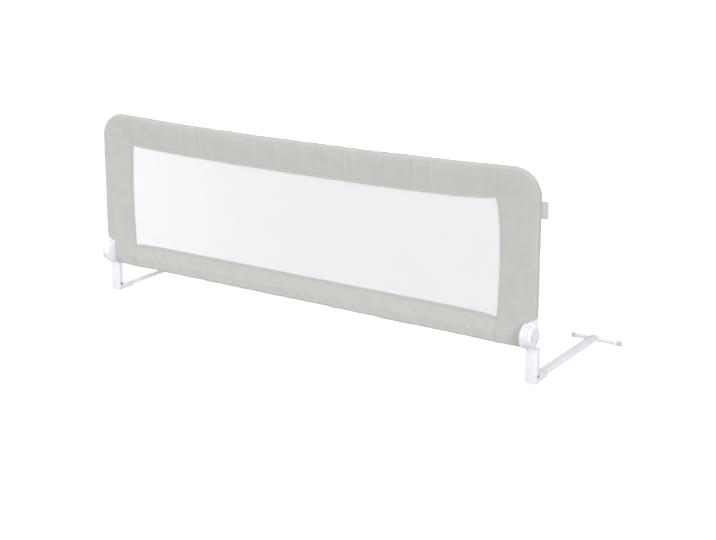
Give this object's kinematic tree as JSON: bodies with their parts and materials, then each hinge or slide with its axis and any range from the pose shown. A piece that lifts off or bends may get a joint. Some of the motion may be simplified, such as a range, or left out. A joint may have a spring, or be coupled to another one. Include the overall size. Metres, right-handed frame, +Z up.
{
  "type": "folding bed guard rail",
  "caption": "Fabric-covered bed guard with a mesh window, hinged on short posts whose flat arms slide under the mattress and end in cross bars.",
  "frame": {"origin": "middle of the whole rail's box, on the surface that the posts and arms stand on", "axes": "+X along the rail to its right end, +Y from the panel along the arms, +Z up"},
  "size_m": [1.632, 0.4482, 0.572],
  "materials": {
    "white_paint": "satin white powder coat on steel flat tube",
    "white_plastic": "white moulded plastic with a fine texture",
    "grey_rubber": "pale grey matt end caps",
    "zinc_steel": "zinc-plated steel",
    "cover_fabric": "warm pale grey plain-weave polyester with sewn seams",
    "window_mesh": "white knitted mesh",
    "tag_tape": "folded woven tape, bare"
  },
  "bodies": {
    "legs": {"left_post": "white_paint", "left_foot_connector": "white_plastic", "left_foot_bolt": "zinc_steel", "left_foot_nut": "zinc_steel", "left_arm": "white_paint", "left_arm_screw": "zinc_steel", "left_brace_bar": "white_paint", "left_brace_cap_outer": "grey_rubber", "left_brace_cap_inner": "grey_rubber", "left_hinge_base": "white_plastic", "left_hinge_base_screw": "zinc_steel", "right_post": "white_paint", "right_foot_connector": "white_plastic", "right_foot_bolt": "zinc_steel", "right_foot_nut": "zinc_steel", "right_arm": "white_paint", "right_arm_screw": "zinc_steel", "right_brace_bar": "white_paint", "right_brace_cap_outer": "grey_rubber", "right_brace_cap_inner": "grey_rubber", "right_hinge_base": "white_plastic", "right_hinge_base_screw": "zinc_steel"},
    "panel": {"left_hinge_inner_half": "white_plastic", "left_hinge_outer_half": "white_plastic", "left_hinge_screw_front": "zinc_steel", "left_hinge_screw_rear": "zinc_steel", "left_button_spring": "zinc_steel", "left_corner_tube": "white_paint", "left_upright_pin": "zinc_steel", "left_bottom_tube": "white_paint", "left_cover_side": "cover_fabric", "right_hinge_inner_half": "white_plastic", "right_hinge_outer_half": "white_plastic", "right_hinge_screw_front": "zinc_steel", "right_hinge_screw_rear": "zinc_steel", "right_button_spring": "zinc_steel", "right_corner_tube": "white_paint", "right_upright_pin": "zinc_steel", "right_bottom_tube": "white_paint", "right_cover_side": "cover_fabric", "top_joiner": "zinc_steel", "bottom_joiner": "zinc_steel", "cover_top": "cover_fabric", "cover_bottom": "cover_fabric", "mesh_window": "window_mesh", "side_tag": "tag_tape"},
    "left_button": {"left_release_button": "white_plastic"},
    "right_button": {"right_release_button": "white_plastic"}
  },
  "joints": [
    {"name": "panel_fold", "type": "hinge", "parent": "legs", "child": "panel", "pos_m": [0, -0.19105, 0.132], "axis": [1, 0, 0], "range_deg": [0, 180]},
    {"name": "left_button_press", "type": "slide", "parent": "panel", "child": "left_button", "axis": [1, 0, 0], "range_m": [0, 0.0045], "stiffness_N_per_m": 2000, "springref_m": -0.004, "deforming": ["left_button_spring"]},
    {"name": "right_button_press", "type": "slide", "parent": "panel", "child": "right_button", "axis": [-1, 0, 0], "range_m": [0, 0.0045], "stiffness_N_per_m": 2000, "springref_m": -0.004, "deforming": ["right_button_spring"]}
  ]
}
